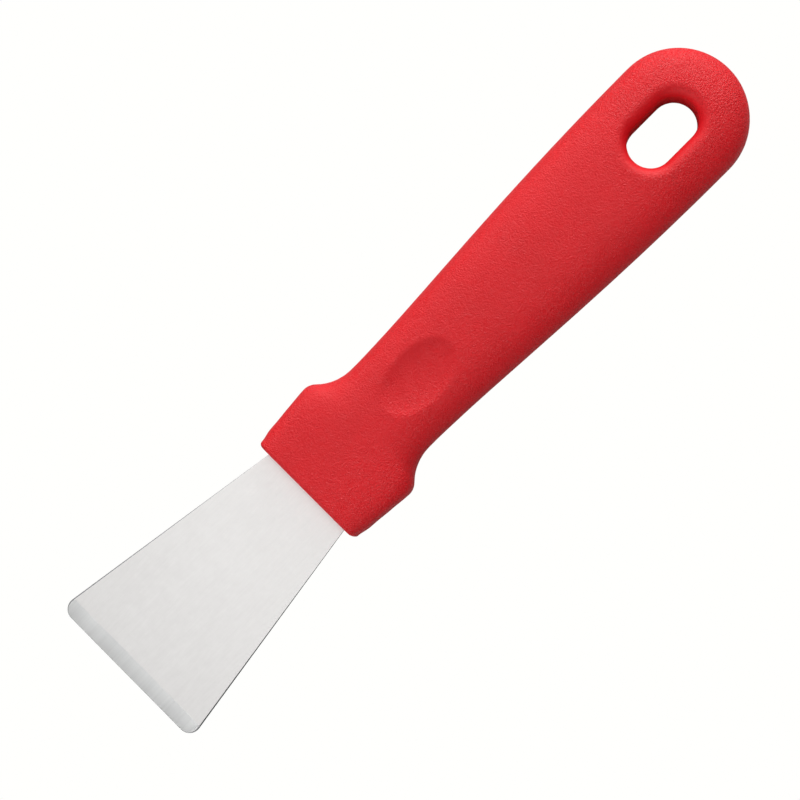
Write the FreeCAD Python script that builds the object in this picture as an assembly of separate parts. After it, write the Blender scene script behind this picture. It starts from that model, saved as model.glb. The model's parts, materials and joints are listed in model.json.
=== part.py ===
import FreeCAD, Part
import math
import os

# Small flat scraper: a stamped stainless blade whose tang is moulded into a one-piece plastic handle.
# Sizes are in mm. Stations run along the tool from the working edge (0) to the tip of the tail; the
# finished solids are shifted at the end so that the origin lies under the middle of the tool.
# +X points from the blade to the tail, +Z is normal to the broad face, and the back rests on z = 0.

Vec = FreeCAD.Vector

# Whole tool
TOOL_LENGTH = 210.0
SEAM_Z = 8.5                # height of the mould's parting plane and of the blade's mid plane

# Blade and tang, one sheet
SHEET = 1.2
EDGE_WIDTH = 45.6           # across the working edge, before its corners are rounded
EDGE_CORNER_R = 3.0
SIDE_TAPER = 8.7            # degrees, each side
BEVEL_RUN = 4.0             # length of the ground bevel along the tool
EDGE_LAND = 0.25            # thickness left at the working edge
ROOT_STATION = 71.5         # where the wide part of the sheet ends, inside the bolster
TANG_WIDTH = 14.0
TANG_END = 152.0
TANG_SHOULDER_R = 2.5       # inner radius where the tang leaves the wide part
TANG_TIP_R = 4.0
LOCK_HOLE_R = 3.0
LOCK_STATIONS = (84.0, 122.0, 142.0)

# Plan of the handle, half widths about the centre line
FRONT_STATION = 63.2
FRONT_HALF = 16.46
FLARE = 5.9                 # degrees the bolster's flanks open towards the tail
SHOULDER_R = 4.0            # convex corner behind the bolster
NECK_R = 12.5               # concave sweep into the neck
NECK_STATION = 92.2
NECK_HALF = 13.5
TAIL_STATION = 192.45       # centre of the rounded tail
TAIL_R = TOOL_LENGTH - TAIL_STATION
NECK_RUN = 22.1             # how far the grip's curve keeps the neck's direction
TAIL_RUN = 47.6             # how far it keeps the tail's direction

# Sections of the handle: superellipses, squarer at the bolster and rounder at the grip
BACK_HEIGHT = 8.75          # from the parting plane down, before the resting flat is taken off
BOLSTER_HEIGHT = 7.7        # from the parting plane up
GRIP_HEIGHT = 9.0
GRIP_FULL_STATION = 150.0   # the grip reaches its full height here
BOLSTER_POWER = 6.0
GRIP_POWER = 2.9
BOLSTER_END = 72.0          # the sections start to soften here
NECK_END = 86.0            # and are fully soft here
HALF_SECTION_STEPS = 16
FRONT_EDGE_R = 0.7
FRONT_CORNER_R = 1.8        # in plan

# Hang hole
HOLE_STATION = 186.9
HOLE_LENGTH = 20.2
HOLE_WIDTH = 11.7
HOLE_RIM_R = 2.9

# Thumb recess, one on each broad face
RECESS_STATION = 101.7
RECESS_HALF_LENGTH = 11.4
RECESS_HALF_WIDTH = 7.7     # at the level of the crown; the rim lies about 1 mm inside it
RECESS_DEPTH = 1.45
RECESS_BALL = 3.0           # vertical half axis of the ellipsoid that forms the recess
RECESS_RIM_R = 2.3

ABOVE = 40.0                # reach of the cutting solids beyond the tool


def ease(station, start, end):
    """Smooth step from 0 at start to 1 at end."""
    t = min(max((station - start) / (end - start), 0.0), 1.0)
    return t * t * (3.0 - 2.0 * t)


def top_height(station):
    """Height of the crown above the parting plane."""
    share = ease(station, BOLSTER_END, GRIP_FULL_STATION)
    return BOLSTER_HEIGHT + (GRIP_HEIGHT - BOLSTER_HEIGHT) * share


def section_power(station):
    """Exponent of the section's superellipse."""
    return BOLSTER_POWER + (GRIP_POWER - BOLSTER_POWER) * ease(station, BOLSTER_END, NECK_END)


def shoulder_centre():
    """Centre of the shoulder arc: it touches the flared flank and the neck's arc."""
    slope = math.tan(math.radians(FLARE))
    lift = FRONT_HALF - SHOULDER_R / math.cos(math.radians(FLARE)) - slope * FRONT_STATION
    neck_y = NECK_HALF + NECK_R
    a = 1.0 + slope ** 2
    b = 2.0 * slope * (lift - neck_y) - 2.0 * NECK_STATION
    c = NECK_STATION ** 2 + (lift - neck_y) ** 2 - (SHOULDER_R + NECK_R) ** 2
    x = (-b - math.sqrt(b * b - 4.0 * a * c)) / (2.0 * a)
    return Vec(x, lift + slope * x, 0.0)


def arc(centre, radius, start, end):
    """The shorter arc from start to end."""
    middle = ((start - centre) + (end - centre)).normalize()
    return Part.Arc(start, centre + middle * radius, end).toShape()


def half_outline():
    """The handle's plan on the +Y side, as edges from the front to the tail's centre."""
    flare = math.radians(FLARE)
    shoulder = shoulder_centre()
    neck_centre = Vec(NECK_STATION, NECK_HALF + NECK_R, 0.0)
    front = Vec(FRONT_STATION, FRONT_HALF, 0.0)
    flank_end = shoulder + Vec(-math.sin(flare), math.cos(flare), 0.0) * SHOULDER_R
    shoulder_end = shoulder + (neck_centre - shoulder).normalize() * SHOULDER_R
    neck = Vec(NECK_STATION, NECK_HALF, 0.0)
    grip = Part.BezierCurve()
    grip.setPoles([
        neck,
        neck + Vec(NECK_RUN, 0.0, 0.0),
        Vec(TAIL_STATION - TAIL_RUN, TAIL_R, 0.0),
        Vec(TAIL_STATION, TAIL_R, 0.0),
    ])
    return [
        Part.makeLine(front, flank_end),
        arc(shoulder, SHOULDER_R, flank_end, shoulder_end),
        arc(neck_centre, NECK_R, shoulder_end, neck),
        grip.toShape(),
    ]


def outline_stations():
    """Points along the half outline, close together where it bends."""
    samples = (6, 6, 10, 16)
    points = []
    for edge, count in zip(half_outline(), samples):
        fresh = edge.discretize(count)
        points += fresh[1:] if points else fresh
    return points


def half_section(station, half_width, height, start_angle):
    """Half of a superellipse, from one flank to the other. A negative height gives the lower half."""
    power = section_power(station)
    points = []
    for i in range(HALF_SECTION_STEPS + 1):
        angle = start_angle + math.pi * i / HALF_SECTION_STEPS
        c = math.cos(angle)
        s = math.sin(angle)
        reach = (abs(c) ** power + abs(s) ** power) ** (-1.0 / power)
        points.append(Vec(station, half_width * reach * c, SEAM_Z + height * reach * abs(s)))
    rise = Vec(0.0, 0.0, math.pi * height)
    curve = Part.BSplineCurve()
    curve.interpolate(
        Points=points,
        Parameters=[i / HALF_SECTION_STEPS for i in range(HALF_SECTION_STEPS + 1)],
        InitialTangent=rise,
        FinalTangent=-rise,
        Scale=False,
    )
    return curve.toShape()


def section_wire(point):
    """Closed section of the handle at one point of its outline."""
    upper = half_section(point.x, point.y, top_height(point.x), 0.0)
    lower = half_section(point.x, point.y, -BACK_HEIGHT, math.pi)
    return Part.Wire([upper, lower])


def handle_body():
    """Bolster, neck and grip lofted through their sections, with the tail turned about its centre."""
    loft = Part.makeLoft([section_wire(p) for p in outline_stations()], True)
    cap = max(loft.Faces, key=lambda face: face.BoundBox.XMin)
    right_side = Part.makeBox(2.0, ABOVE, 2.0 * ABOVE, Vec(TAIL_STATION - 1.0, 0.0, -ABOVE))
    half_cap = cap.common(right_side).Faces[0]
    tail = half_cap.revolve(Vec(TAIL_STATION, 0.0, 0.0), Vec(0.0, 0.0, 1.0), -180.0)
    return loft.fuse(tail).removeSplitter()


def obround(station, length, width, low, high):
    """Upright prism with half-round ends, long way along the tool."""
    r = width / 2.0
    run = length / 2.0 - r
    solid = Part.makeBox(2.0 * run, width, high - low, Vec(station - run, -r, low))
    for side in (-1.0, 1.0):
        solid = solid.fuse(Part.makeCylinder(r, high - low, Vec(station + side * run, 0.0, low)))
    return solid.removeSplitter()


def edges_near(solid, station, half_length, half_width):
    """Edges on the broad faces that stay within a window about a station."""
    found = []
    for edge in solid.Edges:
        box = edge.BoundBox
        along = max(abs(box.XMin - station), abs(box.XMax - station))
        across = max(abs(box.YMin), abs(box.YMax))
        clear_of_seam = box.ZMin > SEAM_Z + 1.0 or box.ZMax < SEAM_Z - 1.0
        if along < half_length and across < half_width and clear_of_seam:
            found.append(edge)
    return found


def with_hang_hole(solid):
    """Cut the hang hole and roll both of its rims."""
    hole = obround(HOLE_STATION, HOLE_LENGTH, HOLE_WIDTH, -ABOVE, ABOVE)
    cut = solid.cut(hole)
    rims = edges_near(cut, HOLE_STATION, HOLE_LENGTH / 2.0 + 0.5, HOLE_WIDTH / 2.0 + 0.5)
    return cut.makeFillet(HOLE_RIM_R, rims)


def recess_former(surface_z, side):
    """Ellipsoid that leaves a recess of the stated plan and depth in a face at surface_z."""
    lift = RECESS_BALL - RECESS_DEPTH
    share = math.sqrt(1.0 - (lift / RECESS_BALL) ** 2)
    stretch = FreeCAD.Matrix()
    stretch.scale(RECESS_HALF_LENGTH / share, RECESS_HALF_WIDTH / share, RECESS_BALL)
    former = Part.makeSphere(1.0).transformGeometry(stretch)
    former.translate(Vec(RECESS_STATION, 0.0, surface_z + side * lift))
    return former


def with_recesses(solid):
    """Press the thumb recess into both broad faces and soften its rim."""
    solid = solid.cut(recess_former(SEAM_Z + top_height(RECESS_STATION), 1.0))
    solid = solid.cut(recess_former(SEAM_Z - BACK_HEIGHT, -1.0))
    rims = edges_near(solid, RECESS_STATION, RECESS_HALF_LENGTH + 1.0, RECESS_HALF_WIDTH + 1.0)
    return solid.makeFillet(RECESS_RIM_R, rims)


def with_front_edge(solid):
    """Soften the rim of the bolster's front face."""
    rim = [edge for edge in solid.Edges if edge.BoundBox.XMax < FRONT_STATION + 0.01]
    return solid.makeFillet(FRONT_EDGE_R, rim)


def with_front_corners(solid):
    """Round the bolster's two front corners in plan."""
    flare = math.radians(FLARE)
    r = FRONT_CORNER_R
    y = FRONT_HALF + math.tan(flare) * r - r / math.cos(flare)
    run = r - r * math.sin(flare)
    corner = Part.makeBox(1.0 + run, ABOVE, 2.0 * ABOVE, Vec(FRONT_STATION - 1.0, y, -ABOVE))
    corner = corner.cut(Part.makeCylinder(r, 2.0 * ABOVE, Vec(FRONT_STATION + r, y, -ABOVE)))
    other_corner = corner.mirror(Vec(0.0, 0.0, 0.0), Vec(0.0, 1.0, 0.0))
    return solid.cut(corner).cut(other_corner)


def make_blade():
    """Trapezoid blade and tang from one sheet, with the bevel ground on its upper side."""
    bottom = SEAM_Z - SHEET / 2.0
    slope = math.tan(math.radians(SIDE_TAPER))
    edge_half = EDGE_WIDTH / 2.0
    root_half = edge_half - slope * ROOT_STATION
    outline = [
        Vec(0.0, -edge_half, bottom),
        Vec(ROOT_STATION, -root_half, bottom),
        Vec(ROOT_STATION, -TANG_WIDTH / 2.0, bottom),
        Vec(TANG_END, -TANG_WIDTH / 2.0, bottom),
        Vec(TANG_END, TANG_WIDTH / 2.0, bottom),
        Vec(ROOT_STATION, TANG_WIDTH / 2.0, bottom),
        Vec(ROOT_STATION, root_half, bottom),
        Vec(0.0, edge_half, bottom),
    ]
    sheet = Part.Face(Part.makePolygon(outline + outline[:1])).extrude(Vec(0.0, 0.0, SHEET))
    corners = {
        (0.0, edge_half): EDGE_CORNER_R,
        (ROOT_STATION, root_half): TANG_SHOULDER_R / 2.0,
        (ROOT_STATION, TANG_WIDTH / 2.0): TANG_SHOULDER_R,
        (TANG_END, TANG_WIDTH / 2.0): TANG_TIP_R,
    }
    for (station, half), radius in corners.items():
        upright = []
        for edge in sheet.Edges:
            centre = edge.BoundBox.Center
            if math.hypot(centre.x - station, abs(centre.y) - half) < 0.01:
                upright.append(edge)
        sheet = sheet.makeFillet(radius, upright)
    for station in LOCK_STATIONS:
        sheet = sheet.cut(Part.makeCylinder(LOCK_HOLE_R, ABOVE, Vec(station, 0.0, 0.0)))
    top = bottom + SHEET
    land = bottom + EDGE_LAND
    wedge = Part.makePolygon([
        Vec(0.0, -ABOVE, land),
        Vec(BEVEL_RUN, -ABOVE, top),
        Vec(BEVEL_RUN, -ABOVE, top + SHEET),
        Vec(-SHEET, -ABOVE, top + SHEET),
        Vec(-SHEET, -ABOVE, land),
        Vec(0.0, -ABOVE, land),
    ])
    return sheet.cut(Part.Face(wedge).extrude(Vec(0.0, 2.0 * ABOVE, 0.0)))


def make_handle(blade):
    """Moulded handle. Its plastic closes round the tang and fills the tang's lock holes."""
    body = with_front_edge(with_recesses(with_hang_hole(handle_body())))
    body = with_front_corners(body)
    below = Part.makeBox(TOOL_LENGTH, 2.0 * ABOVE, ABOVE, Vec(0.0, -ABOVE, -ABOVE))
    return body.cut(below).cut(blade)


def export(name, solid):
    """Write one piece, with the origin moved under the middle of the tool."""
    placed = solid.copy()
    placed.translate(Vec(-TOOL_LENGTH / 2.0, 0.0, 0.0))
    placed.exportStep(os.path.join("parts", name + ".step"))
    print(name, placed.isValid(), len(placed.Solids), round(placed.Volume), placed.BoundBox)


os.makedirs("parts", exist_ok=True)
blade_sheet = make_blade()
export("blade", blade_sheet)
export("handle", make_handle(blade_sheet))
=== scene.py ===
"""A small fixed-blade scraping tool: a satin steel blade in a red moulded handle, lying on a white floor.

Everything is in metres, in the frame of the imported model: the working edge points to -X,
the hang hole lies near +X, and the flat back of the handle rests on Z = 0.
"""

import json
import math

import bmesh
import bpy
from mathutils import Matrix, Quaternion, Vector
from mathutils.noise import fractal


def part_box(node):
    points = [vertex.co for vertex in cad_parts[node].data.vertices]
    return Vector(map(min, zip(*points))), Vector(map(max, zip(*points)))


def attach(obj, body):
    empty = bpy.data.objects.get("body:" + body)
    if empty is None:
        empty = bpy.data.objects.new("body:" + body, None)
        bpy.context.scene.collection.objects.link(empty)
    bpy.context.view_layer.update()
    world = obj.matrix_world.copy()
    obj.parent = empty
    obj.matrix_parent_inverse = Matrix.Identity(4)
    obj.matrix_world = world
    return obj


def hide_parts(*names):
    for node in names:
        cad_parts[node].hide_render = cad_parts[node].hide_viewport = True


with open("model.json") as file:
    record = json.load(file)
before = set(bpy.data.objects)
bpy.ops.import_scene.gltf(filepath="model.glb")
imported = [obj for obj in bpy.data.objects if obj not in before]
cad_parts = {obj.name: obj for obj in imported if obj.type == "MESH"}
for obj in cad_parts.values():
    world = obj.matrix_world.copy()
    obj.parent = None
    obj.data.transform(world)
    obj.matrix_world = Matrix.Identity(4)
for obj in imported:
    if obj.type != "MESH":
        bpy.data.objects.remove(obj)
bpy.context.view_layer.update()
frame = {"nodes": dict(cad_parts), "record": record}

MM = 0.001
HANDLE_LOW, HANDLE_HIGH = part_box("handle")
BLADE_LOW, BLADE_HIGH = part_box("blade")
SEAM_Z = (BLADE_LOW.z + BLADE_HIGH.z) / 2
HOLE_X = next(m["pos_m"][0] for m in frame["record"]["mounts"] if m["name"] == "hang_hole")

# Camera: a long lens nearly straight above the tool, rolled so that the blade points down to the left.
VIEW_WIDTH = 196.8 * MM
VIEW_CENTRE = Vector((-9.7, -0.26, 8.5)) * MM
VIEW_ROLL = math.radians(-45.1)
VIEW_LEAN = math.radians(4.25)
CAMERA_DISTANCE = 0.8
SENSOR = 36.0

# Studio: softboxes as (azimuth from +X towards +Y in degrees, elevation in degrees, width, power in watts).
SOFTBOXES = {
    "overhead": (45.0, 85.0, 0.8, 2.3),
    "key": (45.0, 45.0, 0.9, 3.9),
    "key_low": (45.0, 8.0, 0.5, 10.2),
    "side": (90.0, 30.0, 0.7, 5.2),
    "tail": (0.0, 30.0, 0.7, 5.9),
    "tail_low": (20.0, 12.0, 0.5, 3.1),
    "blade": (180.0, 30.0, 0.7, 6.1),
    "fill": (225.0, 12.0, 0.7, 4.6),
}
SOFTBOX_DISTANCE = 1.3
SKY = 0.03
FLOOR_SIZE = 12.0
FLOOR_WHITE = (1.0, 1.0, 0.985, 1.0)
FLOOR_GREY = (0.4, 0.4, 0.4, 1.0)
BLACK = (0.0, 0.0, 0.0, 1.0)

# Plastic. The hang hole is a slot: straight sides that run this far each way, and half-round ends.
RED_DARK = (0.685, 0.0032, 0.0085, 1.0)
RED_LIGHT = (0.735, 0.0026, 0.009, 1.0)
GRAIN_SIZE = 0.42 * MM
GRAIN_DEPTH = 0.175 * MM
CLOUD_SIZE = 14.0 * MM
HOLE_RUN = 4.25 * MM
HOLE_HALF = 5.85 * MM
RIM_START = 0.6 * MM
RIM_END = 3.0 * MM

# Steel.
SATIN_DARK = (0.855, 0.841, 0.827, 1.0)
SATIN_LIGHT = (0.975, 0.961, 0.947, 1.0)
GROUND_DARK = (0.82, 0.826, 0.82, 1.0)
GROUND_LIGHT = (0.875, 0.881, 0.875, 1.0)
# The sheet's sides and rolled corners: a dull grey darkened as painted shade, standing in for the thin dark
# outline along the blade's edges.
SHEARED_SHADE_DARK = (0.16, 0.16, 0.165, 1.0)
SHEARED_SHADE_LIGHT = (0.30, 0.30, 0.31, 1.0)
GLANCING_TINT = (0.05, 0.05, 0.05, 1.0)

# Blade mesh.
BEVEL_RUN = 4.0 * MM
BEVEL_WAVER = 0.12 * MM
BEVEL_WAVE = 9.0 * MM
BEVEL_HOLLOW = 0.015 * MM
SHEET_EDGE = 0.28 * MM
EDGE_SHARE = 0.3
BLADE_STRIP = 1.0 * MM
STRIP_SNAP = 0.0001 * MM
FLAT_ENOUGH = 0.95
SIDE_STEEP = 0.5
BEVEL_STRIPS = 8
SAME_PLANE = math.radians(0.5)

# Handle mesh.
QUAD = 0.42 * MM
PLUG_HALF = 13.2 * MM
PLUG_MARGIN = 0.5 * MM
PLUG_INSET = 0.02 * MM
SHARP_ANGLE = math.radians(35)
PARTING_HALF = 0.16 * MM
PARTING_HEIGHT = 0.06 * MM
ON_PLANE = 0.001 * MM


def link(thing):
    bpy.context.scene.collection.objects.link(thing)
    return thing


def add_camera():
    """The camera leans a little to the tool's -Y side, so the far walls of the hang hole show."""
    data = bpy.data.cameras.new("camera")
    data.sensor_width = SENSOR
    data.lens = SENSOR * CAMERA_DISTANCE / VIEW_WIDTH
    data.clip_start = 0.01
    data.clip_end = 50.0
    camera = link(bpy.data.objects.new("camera", data))
    back = Vector((0.0, -math.sin(VIEW_LEAN), math.cos(VIEW_LEAN)))
    lean = Vector((0.0, 0.0, 1.0)).rotation_difference(back)
    camera.rotation_mode = "QUATERNION"
    camera.rotation_quaternion = lean @ Quaternion((0.0, 0.0, 1.0), VIEW_ROLL)
    camera.location = VIEW_CENTRE + CAMERA_DISTANCE * back
    bpy.context.scene.camera = camera


def add_softbox(name, azimuth, elevation, width, power):
    """A square softbox aimed at the tool."""
    data = bpy.data.lights.new(name, "AREA")
    data.shape = "SQUARE"
    data.size = width
    data.energy = power
    light = link(bpy.data.objects.new(name, data))
    a = math.radians(azimuth)
    e = math.radians(elevation)
    out = Vector((math.cos(e) * math.cos(a), math.cos(e) * math.sin(a), math.sin(e)))
    light.location = out * SOFTBOX_DISTANCE
    light.rotation_mode = "QUATERNION"
    light.rotation_quaternion = out.to_track_quat("Z", "Y")


def add_sky():
    world = bpy.data.worlds.new("studio")
    world.use_nodes = True
    background = world.node_tree.nodes["Background"]
    background.inputs["Color"].default_value = (1.0, 1.0, 1.0, 1.0)
    background.inputs["Strength"].default_value = SKY
    bpy.context.scene.world = world


def floor_paint():
    """Plain white to the camera, and grey in the light that it throws back on the tool."""
    material, tree, shader = new_material("floor_white")
    seen = node(tree, "LightPath").outputs["Is Camera Ray"]
    tint = node(tree, "Mix", {"data_type": "RGBA"}, i0=seen, i6=FLOOR_GREY, i7=BLACK)
    shader.inputs["Roughness"].default_value = 0.8
    shader.inputs["Specular IOR Level"].default_value = 0.0
    shader.inputs["Emission Color"].default_value = FLOOR_WHITE
    tree.links.new(tint.outputs[2], shader.inputs["Base Color"])
    tree.links.new(seen, shader.inputs["Emission Strength"])
    return material


def add_floor():
    half = FLOOR_SIZE / 2
    mesh = bpy.data.meshes.new("floor")
    corners = [(-half, -half, 0.0), (half, -half, 0.0), (half, half, 0.0), (-half, half, 0.0)]
    mesh.from_pydata(corners, [], [(0, 1, 2, 3)])
    floor = link(bpy.data.objects.new("floor", mesh))
    mesh.materials.append(floor_paint())


def cad_copy(cad_name, name):
    """A new object with the bare faces of a node's mesh, their split corners joined up."""
    mesh = bpy.data.meshes.new(name)
    shell = bmesh.new()
    shell.from_mesh(frame["nodes"][cad_name].data)
    bmesh.ops.remove_doubles(shell, verts=shell.verts, dist=ON_PLANE)
    shell.verts.index_update()
    faces = [[vertex.index for vertex in face.verts] for face in shell.faces]
    mesh.from_pydata([vertex.co for vertex in shell.verts], [], faces)
    shell.free()
    return link(bpy.data.objects.new(name, mesh))


def add_box(obj, low, high):
    """Adds a closed box to an object's mesh."""
    shell = bmesh.new()
    shell.from_mesh(obj.data)
    corners = bmesh.ops.create_cube(shell, size=1.0)["verts"]
    for corner in corners:
        corner.co = [lo + (c + 0.5) * (hi - lo) for lo, hi, c in zip(low, high, corner.co)]
    shell.to_mesh(obj.data)
    shell.free()


def with_modifiers(obj):
    """The object's mesh as its modifiers leave it."""
    graph = bpy.context.evaluated_depsgraph_get()
    return bpy.data.meshes.new_from_object(obj.evaluated_get(graph))


def even_quads(source, target):
    """Even quads over the source's outer skin, drawn on to the target's exact surface."""
    remesh = source.modifiers.new("quads", "REMESH")
    remesh.mode = "VOXEL"
    remesh.voxel_size = QUAD
    for _ in range(2):
        smooth = source.modifiers.new("smooth", "SMOOTH")
        smooth.factor = 0.5
        smooth.iterations = 3
        wrap = source.modifiers.new("wrap", "SHRINKWRAP")
        wrap.wrap_method = "NEAREST_SURFACEPOINT"
        wrap.target = target
    return with_modifiers(source)


def cut_across(shell, normal, distance, dist):
    """Cuts every face of a mesh that crosses a plane."""
    everything = shell.verts[:] + shell.edges[:] + shell.faces[:]
    bmesh.ops.bisect_plane(shell, geom=everything, dist=dist, plane_co=normal * distance, plane_no=normal)


def add_parting_line(mesh):
    """Raises the fine ridge that the two mould halves leave along the handle's flanks and tail."""
    shell = bmesh.new()
    shell.from_mesh(mesh)
    up = Vector((0.0, 0.0, 1.0))
    for offset in (-PARTING_HALF, PARTING_HALF, 0.0):
        cut_across(shell, up, SEAM_Z + offset, ON_PLANE)
    shell.normal_update()
    crest = []
    for vertex in shell.verts:
        x, y, z = vertex.co
        from_hole = math.hypot(max(abs(x - HOLE_X) - HOLE_RUN, 0.0), y)
        outside = from_hole > 2.0 * HOLE_HALF and x > HANDLE_LOW.x + PARTING_HALF
        if abs(z - SEAM_Z) < ON_PLANE and outside:
            crest.append((vertex, vertex.normal.copy()))
    for vertex, normal in crest:
        vertex.co += Vector((normal.x, normal.y, 0.0)).normalized() * PARTING_HEIGHT
    shell.to_mesh(mesh)
    shell.free()


def handle_piece():
    exact = cad_copy("handle", "handle_exact")
    low = Vector((HANDLE_LOW.x + PLUG_INSET, -PLUG_HALF, BLADE_LOW.z - PLUG_MARGIN))
    high = Vector((BLADE_HIGH.x + PLUG_MARGIN, PLUG_HALF, BLADE_HIGH.z + PLUG_MARGIN))
    add_box(exact, low, high)
    rough = link(bpy.data.objects.new("handle_rough", exact.data.copy()))
    skin = link(bpy.data.objects.new("moulded_handle", even_quads(rough, exact)))
    add_parting_line(skin.data)
    cutter = cad_copy("blade", "slot_cutter")
    cut = skin.modifiers.new("slot", "BOOLEAN")
    cut.operation = "DIFFERENCE"
    cut.solver = "EXACT"
    cut.object = cutter
    mesh = with_modifiers(skin)
    skin.modifiers.clear()
    skin.data = mesh
    mesh.shade_smooth()
    mesh.set_sharp_from_angle(angle=SHARP_ANGLE)
    for helper in (exact, rough, cutter):
        bpy.data.objects.remove(helper)
    return skin


def cut_into_strips(shell, axis, low, high, step):
    """Cuts a mesh across an axis at even steps between two places."""
    count = max(1, round((high - low) / step))
    normal = Vector([float(i == axis) for i in range(3)])
    for i in range(1, count):
        cut_across(shell, normal, low + (high - low) * i / count, STRIP_SNAP)


def bevel_line(y):
    """Where the ground bevel ends at a distance across the blade; the hand that ground it wavered."""
    waver = fractal(Vector((y / BEVEL_WAVE, 3.7, 0.0)), 1.0, 2.0, 3)
    return BLADE_LOW.x + BEVEL_RUN + BEVEL_WAVER * waver


def grind_bevel(shell):
    """Gives the bevel its wavering upper line and a slight hollow, inside the sheet's sides."""
    low = BLADE_LOW.x
    for vertex in shell.verts:
        share = (vertex.co.x - low) / BEVEL_RUN
        if share > 1.001 or min(face.normal.z for face in vertex.link_faces) < FLAT_ENOUGH:
            continue
        vertex.co.x += share * (bevel_line(vertex.co.y) - low - BEVEL_RUN)
        vertex.co.z -= BEVEL_HOLLOW * 4.0 * share * (1.0 - share)


def soften_sheet_edges(blade):
    """Rolls the sheet's corners outside the handle, less where the ground edge is thin."""
    shell = bmesh.new()
    shell.from_mesh(blade.data)
    bmesh.ops.dissolve_limit(
        shell, angle_limit=SAME_PLANE, verts=shell.verts, edges=shell.edges, delimit={"NORMAL"}
    )
    weight = shell.edges.layers.float.new("bevel_weight_edge")
    for edge in shell.edges:
        upright = [abs(face.normal.z) < SIDE_STEEP for face in edge.link_faces]
        start = min(vertex.co.x for vertex in edge.verts)
        if start < HANDLE_LOW.x and upright.count(True) == 1:
            edge[weight] = min(1.0, EDGE_SHARE + (start - BLADE_LOW.x) / BEVEL_RUN)
    shell.to_mesh(blade.data)
    shell.free()
    roll = blade.modifiers.new("roll", "BEVEL")
    roll.limit_method = "WEIGHT"
    roll.width = SHEET_EDGE
    roll.segments = 2
    roll.use_clamp_overlap = False
    mesh = with_modifiers(blade)
    blade.modifiers.clear()
    blade.data = mesh


def blade_material(face):
    """The material number of a face: 0 satin, 1 the ground bevel, 2 the sides and their rolled corners, in
    a grey darkened as painted shade.
    """
    middle = face.calc_center_median()
    if abs(face.normal.z) < FLAT_ENOUGH:
        return 2
    if face.normal.z > 0.0 and middle.x < bevel_line(middle.y):
        return 1
    return 0


def paint_blade(shell):
    """Gives every face its material, with a crisp line where two materials meet."""
    for face in shell.faces:
        face.material_index = blade_material(face)
        face.smooth = True
    for edge in shell.edges:
        edge.smooth = len({face.material_index for face in edge.link_faces}) == 1


def blade_piece():
    blade = cad_copy("blade", "ground_blade")
    soften_sheet_edges(blade)
    shell = bmesh.new()
    shell.from_mesh(blade.data)
    cut_into_strips(shell, 1, BLADE_LOW.y, BLADE_HIGH.y, BLADE_STRIP)
    cut_into_strips(shell, 0, BLADE_LOW.x, BLADE_LOW.x + BEVEL_RUN, BEVEL_RUN / BEVEL_STRIPS)
    cut_into_strips(shell, 0, BLADE_LOW.x + BEVEL_RUN, HANDLE_LOW.x, BLADE_STRIP)
    shell.normal_update()
    grind_bevel(shell)
    shell.normal_update()
    paint_blade(shell)
    shell.to_mesh(blade.data)
    shell.free()
    return blade


def new_material(name):
    """A material with its node tree and its shader."""
    material = bpy.data.materials.new(name)
    material.use_nodes = True
    tree = material.node_tree
    return material, tree, tree.nodes["Principled BSDF"]


def node(tree, kind, settings=(), **inputs):
    """A shader node; each input is a value or the socket that feeds it."""
    made = tree.nodes.new("ShaderNode" + kind)
    for key, value in dict(settings).items():
        setattr(made, key, value)
    for key, value in inputs.items():
        socket = made.inputs[int(key[1:])] if key[0] == "i" and key[1:].isdigit() else made.inputs[key]
        if isinstance(value, bpy.types.NodeSocket):
            tree.links.new(value, socket)
        else:
            socket.default_value = value
    return made


def maths(tree, operation, a, b=0.0, c=0.0):
    return node(tree, "Math", {"operation": operation}, i0=a, i1=b, i2=c).outputs[0]


def place(tree):
    return node(tree, "TexCoord").outputs["Object"]


def noise(tree, scale, detail=2.0, roughness=0.5, where=None):
    """A noise from 0 to 1 whose scale is in waves per metre."""
    vector = where or place(tree)
    made = node(tree, "TexNoise", Vector=vector, Scale=scale, Detail=detail, Roughness=roughness)
    return made.outputs["Fac"]


def shade(tree, factor, dark, light):
    """A colour between two, by a factor from 0 to 1."""
    mixed = node(tree, "Mix", {"data_type": "RGBA"}, i0=factor, i6=dark, i7=light)
    return mixed.outputs[2]


def spread(tree, factor, low, high, to_low=0.0, to_high=1.0):
    """The factor's range from low to high, stretched to fill another range."""
    made = node(tree, "MapRange", i0=factor, i1=low, i2=high, i3=to_low, i4=to_high)
    return made.outputs["Result"]


def outside_hang_hole(tree):
    """0 on the hang hole's wall, rising to 1 on the broad face round its rolled rim."""
    x, y, z = node(tree, "SeparateXYZ", Vector=place(tree)).outputs
    along = maths(tree, "SUBTRACT", maths(tree, "ABSOLUTE", maths(tree, "SUBTRACT", x, HOLE_X)), HOLE_RUN)
    flat = node(tree, "CombineXYZ", X=maths(tree, "MAXIMUM", along, 0.0), Y=y)
    reach = node(tree, "VectorMath", {"operation": "LENGTH"}, i0=flat.outputs[0]).outputs["Value"]
    return spread(tree, reach, HOLE_HALF + RIM_START, HOLE_HALF + RIM_END)


def pebbles(tree, size):
    """Rounded grains from 0 in the valleys to 1 on top, as spark erosion leaves on a mould."""
    warp = node(tree, "TexNoise", Vector=place(tree), Scale=0.6 / size, Detail=1.0)
    push = {"operation": "MULTIPLY_ADD"}
    moved = node(tree, "VectorMath", push, i0=warp.outputs["Color"], i1=(size,) * 3, i2=place(tree))
    soft = {"feature": "SMOOTH_F1"}
    cells = node(tree, "TexVoronoi", soft, Vector=moved.outputs[0], Scale=1.0 / size, Smoothness=0.6)
    return spread(tree, cells.outputs["Distance"], 0.75, 0.1)


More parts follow.
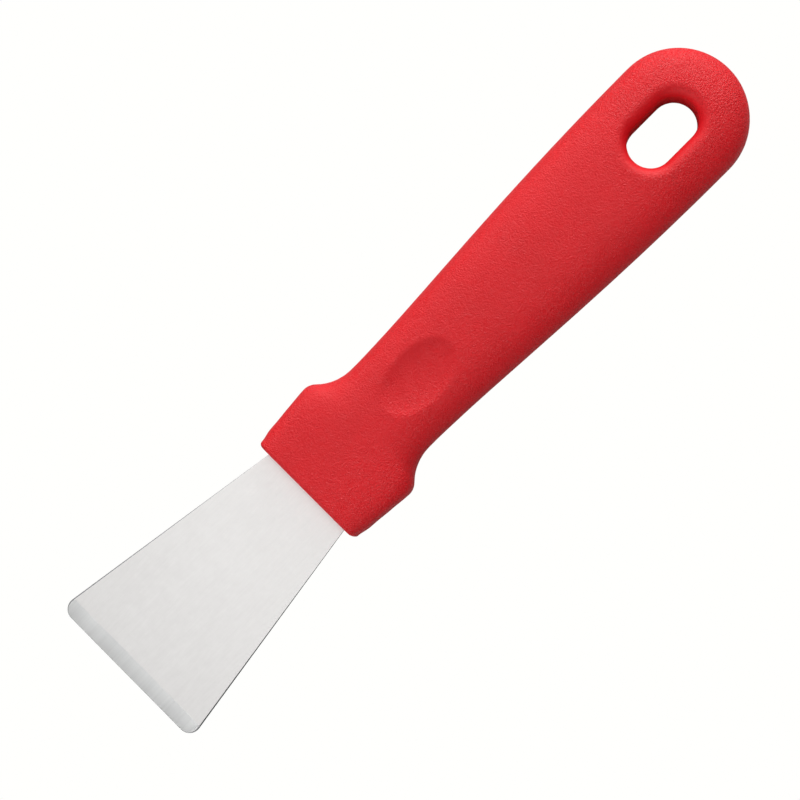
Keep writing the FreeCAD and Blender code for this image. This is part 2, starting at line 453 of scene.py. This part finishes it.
def plastic():
    """Moulded polypropylene: red, with the pebbled grain of a spark-eroded mould."""
    material, tree, shader = new_material("red_plastic")
    grained = outside_hang_hole(tree)
    fine = noise(tree, 2.0 / GRAIN_SIZE, 2.0, 0.6)
    grain = maths(tree, "MULTIPLY_ADD", pebbles(tree, GRAIN_SIZE), 0.6, fine)
    clouds = noise(tree, 1.0 / CLOUD_SIZE, 3.0, 0.55)
    tint = shade(tree, spread(tree, clouds, 0.3, 0.7), RED_DARK, RED_LIGHT)
    dull = maths(tree, "MULTIPLY_ADD", clouds, 0.10, spread(tree, grain, 0.3, 1.3, 0.40, 0.28))
    dull = maths(tree, "ADD", dull, spread(tree, grained, 0.0, 1.0, 0.2, 0.0))
    shader.inputs["Specular IOR Level"].default_value = 0.39
    tree.links.new(tint, shader.inputs["Base Color"])
    tree.links.new(dull, shader.inputs["Roughness"])
    height = maths(tree, "MULTIPLY", grain, spread(tree, grained, 0.0, 1.0, 0.15, 1.0))
    bump = node(tree, "Bump", Strength=1.0, Distance=GRAIN_DEPTH, Height=height)
    tree.links.new(bump.outputs["Normal"], shader.inputs["Normal"])
    return material


def steel_shader(name, metallic, roughness):
    """A metal that goes darker where it is seen at a glancing angle."""
    material, tree, shader = new_material(name)
    shader.inputs["Metallic"].default_value = metallic
    shader.inputs["Roughness"].default_value = roughness
    shader.inputs["Specular Tint"].default_value = GLANCING_TINT
    return material, tree, shader


def streaks(tree, across, along, scale, detail=3.0):
    """Noise drawn out into lines: scale waves per metre, times across on Y and times along on X and Z."""
    drawn = node(tree, "VectorMath", {"operation": "MULTIPLY"}, i0=place(tree), i1=(along, across, along))
    return noise(tree, scale, detail, 0.6, drawn.outputs[0])


def satin_steel():
    """The sheet's rolled face: an even satin with faint cloudiness and hair-thin polishing marks."""
    material, tree, shader = steel_shader("satin_steel", 0.85, 0.3)
    clouds = noise(tree, 1.0 / (9.0 * MM), 4.0, 0.7)
    hairs = streaks(tree, 1.0, 0.1, 1.0 / (0.5 * MM))
    blend = maths(tree, "MULTIPLY_ADD", hairs, 0.3, maths(tree, "MULTIPLY", clouds, 0.7))
    tint = shade(tree, spread(tree, blend, 0.3, 0.7), SATIN_DARK, SATIN_LIGHT)
    tree.links.new(tint, shader.inputs["Base Color"])
    tree.links.new(spread(tree, blend, 0.3, 0.7, 0.285, 0.34), shader.inputs["Roughness"])
    bump = node(tree, "Bump", Strength=1.0, Distance=0.01 * MM, Height=clouds)
    tree.links.new(bump.outputs["Normal"], shader.inputs["Normal"])
    return material


def ground_steel():
    """The bevel: wheel marks square to the edge."""
    material, tree, shader = steel_shader("ground_steel", 0.85, 0.3)
    coarse = streaks(tree, 1.0, 0.04, 1.0 / (1.6 * MM), 1.0)
    fine = streaks(tree, 1.0, 0.04, 1.0 / (0.5 * MM), 1.0)
    marks = maths(tree, "MULTIPLY_ADD", coarse, 0.3, maths(tree, "MULTIPLY", fine, 0.7))
    tint = shade(tree, spread(tree, marks, 0.3, 0.7), GROUND_DARK, GROUND_LIGHT)
    tree.links.new(tint, shader.inputs["Base Color"])
    tree.links.new(spread(tree, marks, 0.3, 0.7, 0.31, 0.35), shader.inputs["Roughness"])
    bump = node(tree, "Bump", Strength=1.0, Distance=0.002 * MM, Height=marks)
    tree.links.new(bump.outputs["Normal"], shader.inputs["Normal"])
    return material


def sheared_steel_and_painted_shade():
    """The stamped sides of the sheet and their rolled corners: a dull grey with a fine rough mottle, made
    darker than the steel as painted shade, so the sheet's edges show as a thin dark outline.
    """
    material, tree, shader = steel_shader("sheared_steel_and_painted_shade", 0.8, 0.5)
    marks = noise(tree, 1.0 / (0.2 * MM), 3.0, 0.6)
    tint = shade(tree, spread(tree, marks, 0.3, 0.7), SHEARED_SHADE_DARK, SHEARED_SHADE_LIGHT)
    tree.links.new(tint, shader.inputs["Base Color"])
    bump = node(tree, "Bump", Strength=1.0, Distance=0.03 * MM, Height=marks)
    tree.links.new(bump.outputs["Normal"], shader.inputs["Normal"])
    return material


def finish_piece(piece, replaced, materials):
    for material in materials:
        piece.data.materials.append(material)
    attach(piece, "root")
    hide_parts(replaced)


add_camera()
add_floor()
add_sky()
for name, numbers in SOFTBOXES.items():
    add_softbox(name, *numbers)
bpy.context.scene.view_settings.view_transform = "Standard"

handle = handle_piece()
blade = blade_piece()
finish_piece(handle, "handle", [plastic()])
finish_piece(blade, "blade", [satin_steel(), ground_steel(), sheared_steel_and_painted_shade()])
